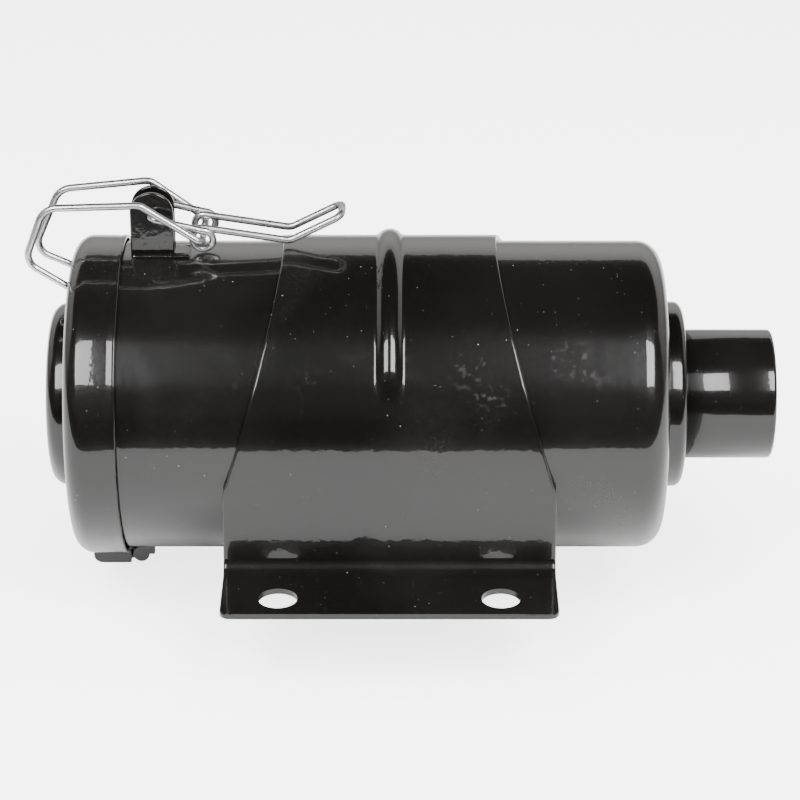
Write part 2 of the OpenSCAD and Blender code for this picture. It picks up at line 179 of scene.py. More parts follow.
def tube(name, path, radius, material, body, stands_for=(), sides=20, first=(1, 0, 0), dome=4):
    """Round wire along a path, with softly domed ends."""
    p = [np.array(x, float) for x in path]
    clean = [p[0]]
    for x in p[1:]:
        if np.linalg.norm(x - clean[-1]) > 0.05 * MM:
            clean.append(x)
    p = clean
    tangent = [unit(p[min(i + 1, len(p) - 1)] - p[max(i - 1, 0)]) for i in range(len(p))]
    normal = np.array(first, float)
    rings = []
    for i, t in enumerate(tangent):
        normal = unit(normal - (normal @ t) * t)
        rings.append((p[i], normal.copy(), np.cross(t, normal), radius))
    ends = []
    for side, sign in ((0, -1), (-1, 1)):
        c, n, b, r = rings[side]
        t = tangent[side] * sign
        caps = []
        for k in range(1, dome + 1):
            a = math.pi / 2 * k / dome
            caps.append((c + t * 0.45 * r * math.sin(a), n, b, r * math.cos(a * 0.97)))
        ends.append(caps)
    rings = ends[0][::-1] + rings + ends[1]
    verts, faces = [], []
    for c, n, b, r in rings:
        for k in range(sides):
            a = 2 * math.pi * k / sides
            verts.append(c + r * (math.cos(a) * n + math.sin(a) * b))
    for i in range(len(rings) - 1):
        for k in range(sides):
            a, b2 = i * sides + k, i * sides + (k + 1) % sides
            faces.append((a, b2, b2 + sides, a + sides))
    faces.append(tuple(range(sides))[::-1])
    faces.append(tuple((len(rings) - 1) * sides + k for k in range(sides)))
    return new_object(name, verts, faces, material, body, stands_for)


def cut(obj, cutter_verts, cutter_faces):
    """Takes a closed solid out of a mesh and applies the result."""
    mesh = bpy.data.meshes.new("cutter")
    mesh.from_pydata(cutter_verts, [], cutter_faces)
    cutter = bpy.data.objects.new("cutter", mesh)
    bpy.context.scene.collection.objects.link(cutter)
    work = bmesh.new()
    work.from_mesh(mesh)
    bmesh.ops.recalc_face_normals(work, faces=work.faces)
    work.to_mesh(mesh)
    work.free()
    mod = obj.modifiers.new("cut", "BOOLEAN")
    mod.operation = "DIFFERENCE"
    mod.solver = "EXACT"
    mod.object = cutter
    bpy.context.view_layer.update()
    graph = bpy.context.evaluated_depsgraph_get()
    result = bpy.data.meshes.new_from_object(obj.evaluated_get(graph))
    obj.modifiers.clear()
    old = obj.data
    obj.data = result
    bpy.data.meshes.remove(old)
    bpy.data.objects.remove(cutter)
    bpy.data.meshes.remove(mesh)


def drum(centre, radius, half, sides=72):
    """Upright cylinder for cutting, as (verts, faces)."""
    verts, faces = [], []
    for z in (-half, half):
        for k in range(sides):
            a = 2 * math.pi * k / sides
            verts.append((centre[0] + radius * math.cos(a), centre[1] + radius * math.sin(a), centre[2] + z))
    for k in range(sides):
        j = (k + 1) % sides
        faces.append((k, j, sides + j, sides + k))
    faces.append(tuple(range(sides))[::-1])
    faces.append(tuple(range(sides, 2 * sides)))
    return verts, faces


# ---------------------------------------------------------------- materials
class Nodes:
    """Small helper around one material's node tree."""

    def __init__(self, name):
        self.material = bpy.data.materials.new(name)
        self.material.use_nodes = True
        self.tree = self.material.node_tree
        self.shader = self.tree.nodes["Principled BSDF"]
        self.place = self.add("ShaderNodeTexCoord").outputs["Object"]

    def add(self, kind, **settings):
        node = self.tree.nodes.new(kind)
        for key, value in settings.items():
            setattr(node, key, value)
        return node

    def link(self, a, b):
        self.tree.links.new(a, b)

    def scaled(self, scale, turn=(0, 0, 0)):
        node = self.add("ShaderNodeMapping")
        node.inputs["Scale"].default_value = scale
        node.inputs["Rotation"].default_value = turn
        self.link(self.place, node.inputs["Vector"])
        return node.outputs["Vector"]

    def noise(self, scale, detail=3.0, rough=0.5, vector=None, distortion=0.0):
        node = self.add("ShaderNodeTexNoise")
        node.inputs["Scale"].default_value = scale
        node.inputs["Detail"].default_value = detail
        node.inputs["Roughness"].default_value = rough
        node.inputs["Distortion"].default_value = distortion
        self.link(vector or self.place, node.inputs["Vector"])
        return node.outputs["Fac"]

    def cells(self, scale, output="Distance"):
        node = self.add("ShaderNodeTexVoronoi")
        node.inputs["Scale"].default_value = scale
        self.link(self.place, node.inputs["Vector"])
        return node.outputs[output]

    def ramp(self, source, low, high, out_low=0.0, out_high=1.0):
        node = self.add("ShaderNodeMapRange", interpolation_type="SMOOTHSTEP")
        node.inputs["From Min"].default_value = low
        node.inputs["From Max"].default_value = high
        node.inputs["To Min"].default_value = out_low
        node.inputs["To Max"].default_value = out_high
        self.link(source, node.inputs["Value"])
        return node.outputs["Result"]

    def math(self, operation, a, b=None, clamp=False):
        node = self.add("ShaderNodeMath", operation=operation, use_clamp=clamp)
        for value, socket in ((a, node.inputs[0]), (b, node.inputs[1])):
            if value is None:
                continue
            if isinstance(value, (int, float)):
                socket.default_value = value
            else:
                self.link(value, socket)
        return node.outputs[0]

    def mix(self, factor, a, b):
        node = self.add("ShaderNodeMix", data_type="RGBA")
        self.link(factor, node.inputs["Factor"])
        for value, socket in ((a, node.inputs["A"]), (b, node.inputs["B"])):
            if isinstance(value, tuple):
                socket.default_value = (*value, 1.0)
            else:
                self.link(value, socket)
        return node.outputs["Result"]

    def bump(self, height, strength, distance, normal=None):
        node = self.add("ShaderNodeBump")
        node.inputs["Strength"].default_value = strength
        node.inputs["Distance"].default_value = distance
        self.link(height, node.inputs["Height"])
        if normal is not None:
            self.link(normal, node.inputs["Normal"])
        return node.outputs["Normal"]

    def near(self, point, radius):
        """1 at a place on the object, fading to 0 at radius, and the distance itself."""
        node = self.add("ShaderNodeVectorMath", operation="DISTANCE")
        self.link(self.place, node.inputs[0])
        node.inputs[1].default_value = point
        return self.ramp(node.outputs["Value"], radius, 0.0), node.outputs["Value"]


def black_paint(name, swirls=(), peel=1.0, dust=1.0):
    """Gloss stove enamel on sheet steel: orange peel, nibs of dust, rubbing marks and faint smears."""
    n = Nodes(name)
    s = n.shader
    s.inputs["IOR"].default_value = 1.5
    s.inputs["Specular IOR Level"].default_value = 0.20
    s.inputs["Coat Weight"].default_value = 0.72
    s.inputs["Coat Roughness"].default_value = 0.022
    s.inputs["Coat IOR"].default_value = 1.5

    # dust nibs: a few of the cells carry a speck in the middle
    specks = None
    for scale, size, chosen in ((230.0, 0.055, 0.62), (520.0, 0.075, 0.72)):
        dot = n.ramp(n.cells(scale), size, size * 0.45)
        pick = n.add("ShaderNodeSeparateColor")
        n.link(n.cells(scale, output="Color"), pick.inputs[0])
        kept = n.math("GREATER_THAN", pick.outputs[0], chosen)
        size_pick = n.ramp(pick.outputs[1], 0.0, 1.0, 0.25, 1.0)
        one = n.math("MULTIPLY", n.math("MULTIPLY", dot, kept), size_pick)
        specks = one if specks is None else n.math("MAXIMUM", specks, one)

    # rubbing marks: thin arcs about a point, broken up by noise
    marks = None
    for point, arc_centre, pitch, radius, weight in swirls:
        close, _ = n.near(point, radius)
        _, distance = n.near(arc_centre, radius)
        wander = n.math("MULTIPLY", n.noise(60.0, 2.0), 0.0025)
        rings = n.math("SINE", n.math("MULTIPLY", n.math("ADD", distance, wander), 2 * math.pi / pitch))
        line = n.ramp(rings, 0.86, 1.0)
        broken = n.ramp(n.noise(420.0, 2.0), 0.52, 0.70)
        one = n.math("MULTIPLY", n.math("MULTIPLY", line, broken), n.math("MULTIPLY", close, weight))
        marks = one if marks is None else n.math("MAXIMUM", marks, one)
    brushed = n.noise(1.0, 1.0, vector=n.scaled((2600, 90, 2200), (0.3, 0.5, 0.9)))
    hair = n.ramp(brushed, 0.74, 0.80, 0.0, 0.20)
    marks = hair if marks is None else n.math("MAXIMUM", marks, hair)

    smear = n.ramp(n.noise(20.0, 4.0, 0.6, distortion=0.6), 0.46, 0.74)
    fine = n.noise(900.0, 2.0)
    haze = n.math("MULTIPLY", smear, n.ramp(fine, 0.35, 0.65, 0.4, 1.0))

    cloud = n.ramp(n.noise(14.0, 3.0), 0.35, 0.7)
    tone = n.mix(cloud, (0.0030, 0.0028, 0.0026), (0.0060, 0.0054, 0.0049))
    tone = n.mix(n.math("MULTIPLY", haze, 0.20), tone, (0.020, 0.019, 0.018))
    tone = n.mix(n.math("MULTIPLY", marks, 0.16), tone, (0.30, 0.29, 0.27))
    tone = n.mix(n.math("MULTIPLY", specks, 0.55 * dust), tone, (0.55, 0.53, 0.50))
    n.link(tone, s.inputs["Base Color"])
    rough = n.math("ADD", n.math("MULTIPLY", haze, 0.10), 0.20)
    rough = n.math("ADD", rough, n.math("MULTIPLY", marks, 0.25))
    rough = n.math("ADD", rough, n.math("MULTIPLY", specks, 0.30), clamp=True)
    n.link(rough, s.inputs["Roughness"])
    relief = n.bump(n.noise(150.0, 2.0, 0.4), 0.10 * peel, 0.5 * MM)
    relief = n.bump(n.noise(620.0, 2.0, 0.5), 0.05 * peel, 0.3 * MM, relief)
    relief = n.bump(n.math("ADD", specks, n.math("MULTIPLY", marks, -0.3)), 0.35, 0.12 * MM, relief)
    n.link(relief, s.inputs["Normal"])
    n.link(relief, s.inputs["Coat Normal"])
    return n.material


def zinc_wire(name):
    """Drawn wire with bright zinc plating: soft lengthwise draw marks and dull patches."""
    n = Nodes(name)
    s = n.shader
    s.inputs["Metallic"].default_value = 1.0
    patch = n.ramp(n.noise(210.0, 4.0, 0.6), 0.35, 0.68)
    grain = n.noise(2600.0, 2.0)
    pits = n.ramp(n.cells(900.0), 0.16, 0.05)
    tone = n.mix(patch, (0.58, 0.58, 0.59), (0.40, 0.40, 0.41))
    tone = n.mix(n.math("MULTIPLY", pits, 0.45), tone, (0.26, 0.25, 0.24))
    n.link(tone, s.inputs["Base Color"])
    rough = n.math("ADD", n.math("MULTIPLY", patch, 0.14), n.ramp(grain, 0.3, 0.7, 0.22, 0.32))
    n.link(rough, s.inputs["Roughness"])
    relief = n.bump(grain, 0.12, 0.10 * MM)
    relief = n.bump(n.noise(380.0, 3.0), 0.20, 0.15 * MM, relief)
    n.link(relief, s.inputs["Normal"])
    return n.material


def tinplate(name):
    """Tin-plated sheet: faint rolling lines, spangle and a few dull spots."""
    n = Nodes(name)
    s = n.shader
    s.inputs["Metallic"].default_value = 1.0
    lines = n.noise(1.0, 2.0, vector=n.scaled((30, 1600, 1600)))
    spangle = n.cells(190.0, output="Color")
    grey = n.add("ShaderNodeSeparateColor")
    n.link(spangle, grey.inputs[0])
    tone = n.mix(grey.outputs[0], (0.62, 0.63, 0.64), (0.50, 0.51, 0.52))
    tone = n.mix(n.ramp(n.noise(75.0, 4.0), 0.55, 0.72), tone, (0.40, 0.38, 0.35))
    n.link(tone, s.inputs["Base Color"])
    n.link(n.ramp(lines, 0.25, 0.75, 0.26, 0.42), s.inputs["Roughness"])
    n.link(n.bump(lines, 0.10, 0.08 * MM), s.inputs["Normal"])
    return n.material


def black_rubber(name):
    """Moulded rubber: matt, finely grained, with a grey bloom."""
    n = Nodes(name)
    s = n.shader
    bloom = n.ramp(n.noise(90.0, 4.0, 0.6), 0.40, 0.75)
    n.link(n.mix(bloom, (0.016, 0.016, 0.017), (0.050, 0.049, 0.047)), s.inputs["Base Color"])
    n.link(n.ramp(bloom, 0.0, 1.0, 0.55, 0.75), s.inputs["Roughness"])
    n.link(n.bump(n.noise(1500.0, 3.0), 0.35, 0.12 * MM), s.inputs["Normal"])
    return n.material


def filter_paper(name):
    """Resin-treated pleated paper: cream fibres with darker random streaks stretched along X."""
    n = Nodes(name)
    s = n.shader
    fibres = n.noise(1.0, 5.0, 0.65, vector=n.scaled((500, 1500, 1500)))
    cloud = n.noise(60.0, 4.0)
    tone = n.mix(n.ramp(cloud, 0.3, 0.7), (0.66, 0.52, 0.28), (0.78, 0.66, 0.42))
    tone = n.mix(n.ramp(fibres, 0.5, 0.75, 0.0, 0.5), tone, (0.52, 0.38, 0.20))
    n.link(tone, s.inputs["Base Color"])
    s.inputs["Roughness"].default_value = 0.85
    n.link(n.bump(fibres, 0.45, 0.2 * MM), s.inputs["Normal"])
    return n.material


# each rubbing mark: its place, the centre of its arcs, their pitch, its radius and its strength
shell_paint = black_paint("paint_can", swirls=(
    ((0.062, -0.045, AXIS_Z + 0.030), (0.075, -0.050, AXIS_Z + 0.006), 0.50 * MM, 0.017, 0.7),
    ((-0.050, -0.047, AXIS_Z + 0.026), (-0.070, -0.050, AXIS_Z + 0.010), 0.60 * MM, 0.012, 0.4)))
strap_paint = black_paint("paint_bracket", swirls=(
    ((0.027, -0.047, AXIS_Z + 0.029), (0.041, -0.050, AXIS_Z + 0.012), 0.55 * MM, 0.013, 0.9),
    ((0.033, -0.050, AXIS_Z + 0.021), (0.012, -0.050, AXIS_Z + 0.004), 0.42 * MM, 0.012, 0.8),
    ((-0.028, -0.049, AXIS_Z + 0.027), (-0.045, -0.050, AXIS_Z + 0.044), 0.60 * MM, 0.010, 0.5)), peel=1.1)
cover_paint = black_paint("paint_cover", peel=0.9)
small_paint = black_paint("paint_small", peel=0.8, dust=0.6)
wire = zinc_wire("zinc_wire")
tin = tinplate("tinplate")
rubber = black_rubber("rubber")
paper = filter_paper("filter_paper")

# ---------------------------------------------------------------- can, collar and spigots
CORNER = 8.4 * MM
shell_outline = rounded([
    (can_lo.x, CAN_R - SHEET, 0.45 * MM),
    (can_lo.x, CAN_R, 0.45 * MM),
    (can_hi.x, CAN_R, CORNER),
    (can_hi.x, SPIGOT_R + FIT, 0),
    (can_hi.x - SHEET, SPIGOT_R + FIT, 0),
    (can_hi.x - SHEET, CAN_R - SHEET, CORNER - SHEET)], steps=10)
shell = lathe("can_skin", shell_outline, shell_paint, "housing", ["canister_shell"],
              centre=(0, 0, AXIS_Z))
cut(shell, *drum((INLET_X, 0, AXIS_Z - CAN_R), SPIGOT_R - BITE, 12 * MM))
shell.data.set_sharp_from_angle(angle=math.radians(40))

collar_outline = rounded([
    (col_lo.x, COLLAR_R - SHEET, 0), (col_lo.x - 0.1 * MM, COLLAR_R + 0.7 * MM, 0),
    (col_lo.x + 0.8 * MM, COLLAR_R, 0.7 * MM),
    (col_hi.x, COLLAR_R, 3 * MM), (col_hi.x, SPIGOT_R + 0.9 * MM, 0.8 * MM),
    (col_hi.x + 0.9 * MM, SPIGOT_R - BITE, 0),
    (col_hi.x - SHEET, SPIGOT_R - BITE, 0), (col_hi.x - SHEET, COLLAR_R - SHEET, 1.8 * MM)], steps=8)
lathe("collar_skin", collar_outline, small_paint, "housing", ["outlet_collar"],
      centre=(0, 0, AXIS_Z))


LIP = 1.2 * MM          # how far the free end of a spigot is rolled in


def spigot(name, start, end, sign, about, centre, node, material):
    """Hose spigot with a rolled-in free end."""
    outline = rounded([
        (start, SPIGOT_R - WALL, 0), (start, SPIGOT_R, 0),
        (end, SPIGOT_R, 2.6 * MM), (end, SPIGOT_R - WALL - LIP, 0.7 * MM),
        (end - sign * LIP, SPIGOT_R - WALL - LIP, 0.4 * MM),
        (end - sign * 2 * LIP, SPIGOT_R - WALL, 1.0 * MM)], steps=8)
    return lathe(name, outline, material, "housing", [node],
                 about=about, centre=centre, turns=160)


spigot("outlet_skin", spig_lo.x, spig_hi.x, 1, "x", (0, 0, AXIS_Z), "outlet_spigot", small_paint)
spigot("inlet_skin", inl_hi.z + 2 * MM, inl_lo.z, -1, "z", (INLET_X, 0, 0), "inlet_spigot", small_paint)


def saddle_bead(name, centre_x, radius, on_radius, size, material):
    """Weld bead along the curve where an upright tube enters the can."""
    path = []
    for k in range(97):
        a = 2 * math.pi * k / 96
        y = radius * math.sin(a)
        path.append((centre_x + radius * math.cos(a), y, AXIS_Z - math.sqrt(on_radius ** 2 - y ** 2)))
    return tube(name, path, size, material, "housing", sides=12)


saddle_bead("inlet_weld", INLET_X, SPIGOT_R + 0.3 * MM, CAN_R, 1.3 * MM, small_paint)

# ---------------------------------------------------------------- saddle bracket
T = 2.0 * MM
STRAP_IN = CAN_R + FIT
STRAP_MID = STRAP_IN + T / 2
BEND_MID = 5.0 * MM + T / 2
CROWN_HALF = 35.3 * MM
FOOT_HALF = (strap_hi.x - strap_lo.x) / 2
FLARE_TOP = AXIS_Z + CAN_R + 5 * MM
FLARE_END = AXIS_Z - 11.5 * MM
RIB_W = 14.0 * MM
RIB_H = 2.2 * MM
RIB_CROWN = 5.2 * MM
RIB_BLEND = 0.45 * MM
RIB_FULL, RIB_GONE = math.radians(56), math.radians(69)
foot_z = strap_lo.z + T / 2
LEAN = math.radians(4.5)
bend_z = foot_z + BEND_MID
bend_y = (STRAP_MID + BEND_MID - math.sin(LEAN) * (bend_z - AXIS_Z)) / math.cos(LEAN)

# middle line of the bracket's section, front foot to rear foot: (y, z, ny, nz, crown angle)
line = []
half_line = []
crown_end = math.pi / 2 - LEAN
for k in range(61):                                     # crown, from the top to the side
    a = crown_end * k / 60
    half_line.append((STRAP_MID * math.sin(a), AXIS_Z + STRAP_MID * math.cos(a),
                      math.sin(a), math.cos(a), a))
leg_top = half_line[-1]
leg_foot = (bend_y - BEND_MID * math.cos(LEAN), bend_z - BEND_MID * math.sin(LEAN))
for k in range(1, 13):                                  # leaning leg
    f = k / 12
    half_line.append((leg_top[0] + (leg_foot[0] - leg_top[0]) * f,
                      leg_top[1] + (leg_foot[1] - leg_top[1]) * f,
                      math.cos(LEAN), math.sin(LEAN), math.pi / 2))
for k in range(1, 15):                                  # bend into the foot
    a = LEAN + crown_end * k / 14
    half_line.append((bend_y - BEND_MID * math.cos(a), bend_z - BEND_MID * math.sin(a),
                      math.cos(a), math.sin(a), math.pi))
for k in range(1, 13):                                  # foot, closer together towards its round corners
    f = math.sin(math.pi / 2 * k / 12)
    half_line.append((bend_y + (strap_hi.y - bend_y) * f, foot_z, 0, 1, math.pi))
for y, z, ny, nz, a in reversed(half_line[1:]):
    line.append((-y, z, -ny, nz, a))
line += half_line

ACROSS = 150
FOOT_CORNER = 3.0 * MM
EDGE = 0.75 * MM        # round of the outside edges
BACK_EDGE = 0.3 * MM    # round of the inside edges


def half_width(z):
    if z <= FLARE_END:
        return FOOT_HALF
    return FOOT_HALF + (CROWN_HALF - FOOT_HALF) * (z - FLARE_END) / (FLARE_TOP - FLARE_END)


def relief_at(x, y, z, angle):
    """Pressed rib over the crown, and two shallow dents above the near bend."""
    up = 0.0
    if angle < RIB_GONE and abs(x) < RIB_W / 2:
        fade = min(1.0, max(0.0, (RIB_GONE - angle) / (RIB_GONE - RIB_FULL)))
        fade = fade * fade * (3 - 2 * fade)
        arc = math.sqrt(max(0.0, RIB_CROWN ** 2 - x * x)) - (RIB_CROWN - RIB_H)
        up += fade * max(0.0, 0.5 * (arc + math.sqrt(arc * arc + RIB_BLEND ** 2)) - 0.015 * MM)
    if y < 0:
        for dx, dz, w, h, depth in ((-9, 11.0, 4.0, 1.8, 0.22), (9, 11.4, 6.5, 1.3, 0.16)):
            q = ((x - dx * MM) / (w * MM)) ** 2 + ((z - dz * MM) / (h * MM)) ** 2
            up -= depth * MM * math.exp(-q)
    return up


verts, faces = [], []
for y, z, ny, nz, angle in line:
    w = half_width(z)
    past = abs(y) - (strap_hi.y - FOOT_CORNER)
    if past > 0:
        w -= FOOT_CORNER - math.sqrt(max(0.0, FOOT_CORNER ** 2 - past ** 2))
    ring = []
    for k in range(ACROSS + 1):                         # outside face, from left to right
        f = -1 + 2 * k / ACROSS
        x = f * (w - EDGE)
        ring.append((x, T / 2 + relief_at(x, y, z, angle)))
    for k in range(1, 7):                               # right edge, rounded by the press and the paint
        a = math.pi / 2 * k / 6
        ring.append((w - EDGE + EDGE * math.sin(a), T / 2 - EDGE + EDGE * math.cos(a)))
    for k in range(6):
        a = math.pi / 2 * k / 5
        ring.append((w - BACK_EDGE + BACK_EDGE * math.cos(a), -T / 2 + BACK_EDGE - BACK_EDGE * math.sin(a)))
    for k in range(1, 24):                              # inside face, from right to left
        x = (w - BACK_EDGE) * (1 - 2 * k / 24)
        ring.append((x, -T / 2))
    for k in range(6):
        a = math.pi / 2 * k / 5
        ring.append((-w + BACK_EDGE - BACK_EDGE * math.sin(a), -T / 2 + BACK_EDGE - BACK_EDGE * math.cos(a)))
    for k in range(6):
        a = math.pi / 2 * k / 6
        ring.append((-w + EDGE - EDGE * math.cos(a), T / 2 - EDGE + EDGE * math.sin(a)))
    loop_size = len(ring)
    for x, h in ring:
        verts.append((x, y + ny * h, z + nz * h))
for i in range(len(line) - 1):
    for k in range(loop_size):
        j = (k + 1) % loop_size
        here, after = i * loop_size, (i + 1) * loop_size
        faces.append((here + k, here + j, after + j, after + k))
faces.append(tuple(range(loop_size))[::-1])
faces.append(tuple((len(line) - 1) * loop_size + k for k in range(loop_size)))
strap = new_object("bracket_skin", verts, faces, strap_paint, "housing", ["mounting_strap"])
pattern = next(m for m in frame["record"]["mounts"] if m["name"] == "foot_bolts")
HOLE_R = pattern["dims"]["hole_r_mm"] * MM
hole_x, hole_y = (pattern["dims"][f"spacing_{axis}_mm"] / 2 * MM for axis in "xy")
for sx in (-1, 1):
    for sy in (-1, 1):
        cut(strap, *drum((sx * hole_x, sy * hole_y, foot_z), HOLE_R, 3 * MM))
strap.data.set_sharp_from_angle(angle=math.radians(38))

# ---------------------------------------------------------------- cover
edge_x, crest_x = cov_hi.x, -109.0 * MM
boss_x = cov_lo.x
BOSS_R, BOSS_CORNER, COVER_CORNER = 31.8 * MM, 5.0 * MM, 6.5 * MM
GROOVE_R, GROOVE_RING = 5.6 * MM, 43.5 * MM
groove_c = crest_x - 0.5 * MM


def cover_face(t):
    """Outside line of the cover from its middle to the skirt, inset by t."""
    pts = [(boss_x + t, 0.0), (boss_x + t, BOSS_R - BOSS_CORNER - 0.5 * MM)]
    r = BOSS_CORNER - t
    for k in range(11):
        a = math.pi / 2 * k / 10
        pts.append((boss_x + t + r * (1 - math.cos(a)), BOSS_R - BOSS_CORNER + r * math.sin(a)))
    land = crest_x + t
    fillet = 1.4 * MM - 0.5 * t
    pts.append((land - fillet - 0.3 * MM, BOSS_R - t))
    for k in range(7):
        a = math.pi / 2 * k / 6
        pts.append((land - fillet + fillet * math.sin(a), BOSS_R - t + fillet * (1 - math.cos(a))))
    g = GROOVE_R + t
    lip = math.asin(min(1.0, (land - groove_c + 0.15 * MM) / g))
    for k in range(17):
        a = lip + (math.pi - 2 * lip) * k / 16
        pts.append((groove_c + g * math.sin(a), GROOVE_RING - g * math.cos(a)))
    r = COVER_CORNER - t
    for k in range(11):
        a = math.pi / 2 * k / 10
        pts.append((land + r * (1 - math.cos(a)), COVER_R - COVER_CORNER + r * math.sin(a)))
    return pts


HEM_R = 0.62 * MM
outside, inside = cover_face(0.0), cover_face(SHEET)
hem = []
for k in range(13):                                     # rolled hem at the free edge of the skirt
    a = math.pi * k / 12
    hem.append((edge_x - HEM_R + HEM_R * math.sin(a), COVER_R - HEM_R + HEM_R * math.cos(a)))
skirt = [(edge_x - 3.2 * MM, COVER_R - 0.12 * MM), (edge_x - 2.2 * MM, COVER_R - 0.12 * MM),
         (edge_x - 1.5 * MM, COVER_R - 0.02 * MM)]
cover_outline = outside + skirt + hem + inside[::-1]
lathe("cover_skin", cover_outline, cover_paint, "cover", ["cover_cap"],
      centre=(0, 0, AXIS_Z))

# ---------------------------------------------------------------- latch bracket
brk_y = (brk_hi.y - brk_lo.y) / 2
BRK_R = brk_hi.z - PIVOT.z
BRK_T = 1.8 * MM


def plate(name, outline, y0, y1, bevel, material, body, stands_for=()):
    """Flat plate cut from sheet: outline in X and Z, between two Y planes, with softened edges."""
    verts = [(x, y0, z) for x, z in outline] + [(x, y1, z) for x, z in outline]
    m = len(outline)
    faces = [tuple(range(m)), tuple(range(2 * m - 1, m - 1, -1))]
    faces += [(k, m + k, m + (k + 1) % m, (k + 1) % m) for k in range(m)]
    obj = new_object(name, verts, faces, material, body, stands_for)
    mod = obj.modifiers.new("soft", "BEVEL")
    mod.width = bevel
    mod.segments = 4
    mod.limit_method = "ANGLE"
    mod.angle_limit = math.radians(50)
    mod.harden_normals = True
    return obj


foot_top = AXIS_Z + CAN_R
ear = [(PIVOT.x - BRK_R, foot_top - 0.6 * MM)]
for k in range(37):
    a = math.pi - math.pi * k / 36
    ear.append((PIVOT.x + BRK_R * math.cos(a), PIVOT.z + BRK_R * math.sin(a)))
ear.append((PIVOT.x + BRK_R, foot_top - 0.6 * MM))
plate("latch_ear_near", ear, -brk_y, -brk_y + BRK_T, 0.55 * MM, small_paint, "housing",
      ["latch_bracket"])
plate("latch_ear_far", ear, brk_y - BRK_T, brk_y, 0.55 * MM, small_paint, "housing")

foot = [(brk_lo.x + 0.2 * MM, foot_top - 0.8 * MM), (brk_lo.x + 0.2 * MM, foot_top + 1.2 * MM),
        (brk_hi.x - 3.0 * MM, foot_top + 1.2 * MM), (brk_hi.x - 1.2 * MM, foot_top + 0.7 * MM),
        (brk_hi.x, foot_top - 0.8 * MM)]
plate("latch_foot", foot, -brk_y + 0.3 * MM, brk_y - 0.3 * MM, 0.5 * MM, small_paint, "housing")
for sy in (-1, 1):
    bead = []
    for k in range(25):
        x = brk_lo.x + 0.8 * MM + (brk_hi.x - brk_lo.x - 2 * MM) * k / 24
        y = brk_y + 0.1 * MM
        ripple = 0.12 * MM * math.sin(9.0 * k)
        bead.append((x, sy * y, AXIS_Z + math.sqrt(CAN_R ** 2 - y ** 2) + 0.25 * MM + ripple))
    tube(f"latch_weld_{'near' if sy < 0 else 'far'}", bead, 0.85 * MM, small_paint, "housing",
         sides=12, first=(0, 0, 1))

# ---------------------------------------------------------------- wire forms, in millimetres
WIRE_R = 1.25 * MM
OUTER_Y, INNER_Y, BAIL_Y = 8.65, 5.95, 11.5
COIL_R = 3.5
HANDLE_KNEE, HANDLE_TIP = (-33.9, 60.4), (-16.2, 69.4)
CROSSBAR_X = -105.8
BAIL_FRONT = [(-83.8, 75.2), (-116.2, 74.2), (-123.3, 54.9)]
BAIL_REAR = [(-82.1, 75.4), (-113.4, 72.2), (-123.1, 49.9)]
BAR_FRONT_Z, BAR_REAR_Z = 43.4, 42.0


def at(x, y, z):
    """Point given in millimetres above the can's axis."""
    return np.array([x * MM, y * MM, AXIS_Z + z * MM])


def lever_half(side):
    px, pz = PIVOT.x / MM, (PIVOT.z - AXIS_Z) / MM
    cx, cz = COIL.x / MM, (COIL.z - AXIS_Z) / MM
    coil = []
    for k in range(55):
        a = math.radians(90 - 360 * k / 54)
        coil.append(at(cx + COIL_R * math.cos(a), side * (OUTER_Y + (INNER_Y - OUTER_Y) * k / 54),
                       cz + COIL_R * math.sin(a)))
    pin, elbow = at(px, side * 1.2, pz), at(px, side * OUTER_Y, pz)
    (knee_x, knee_z), (tip_x, tip_z) = HANDLE_KNEE, HANDLE_TIP
    knee, tip = at(knee_x, side * INNER_Y, knee_z), at(tip_x, side * INNER_Y, tip_z)
    middle = at(tip_x, 0, tip_z)
    return ([pin] + bend(pin, elbow, coil[0], 2 * MM) + coil + bend(coil[-1], knee, tip, 5 * MM)
            + bend(knee, tip, middle, 3.2 * MM))


def bail_half(side, corners, bar_z):
    cx, cz = COIL.x / MM, (COIL.z - AXIS_Z) / MM
    hook, elbow = at(cx, side * 2.2, cz), at(cx, side * BAIL_Y, cz)
    a, b, c = (at(x, side * BAIL_Y, z) for x, z in corners)
    d, middle = at(CROSSBAR_X, side * BAIL_Y, bar_z), at(CROSSBAR_X, 0, bar_z)
    return ([hook] + bend(hook, elbow, a, 2.2 * MM) + bend(elbow, a, b, 5 * MM) + bend(a, b, c, 7 * MM)
            + bend(b, c, d, 5.5 * MM) + bend(c, d, middle, 2.6 * MM))


tube("lever_wire", lever_half(-1) + lever_half(1)[::-1], WIRE_R, wire, "lever", ["latch_lever"])
tube("bail_wire",
     bail_half(-1, BAIL_FRONT, BAR_FRONT_Z) + bail_half(1, BAIL_REAR, BAR_REAR_Z)[::-1],
     WIRE_R, wire, "bail", ["latch_bail"])

spr_lo, spr_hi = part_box("element_spring")
SPRING_WIRE, TURNS, STEPS = 1.0 * MM, 4, 240
WIDE_R, TAPER = 27, 15
s0, s1 = spr_lo.x + SPRING_WIRE, spr_hi.x - SPRING_WIRE
spring = []
for k in range(STEPS + 1):
    r, a = (WIDE_R - TAPER * k / STEPS) * MM, 2 * math.pi * TURNS * k / STEPS
    spring.append((s0 + (s1 - s0) * k / STEPS, r * math.cos(a), AXIS_Z + r * math.sin(a)))
tube("spring_wire", spring, SPRING_WIRE, wire, "cover", ["element_spring"], sides=14)

# ---------------------------------------------------------------- finishes of the carried nodes
finishes = {"hinge_lug": small_paint, "hinge_tab": small_paint,
            "hinge_pin": small_paint, "tab_rivet": small_paint,
            "element_open_cap": tin, "element_closed_cap": tin, "element_core": tin, "element_liner": tin,
            "element_media": paper, "element_seal": rubber, "cover_gasket": rubber}
for node, material in finishes.items():
    nodes[node].data.materials.clear()
    nodes[node].data.materials.append(material)

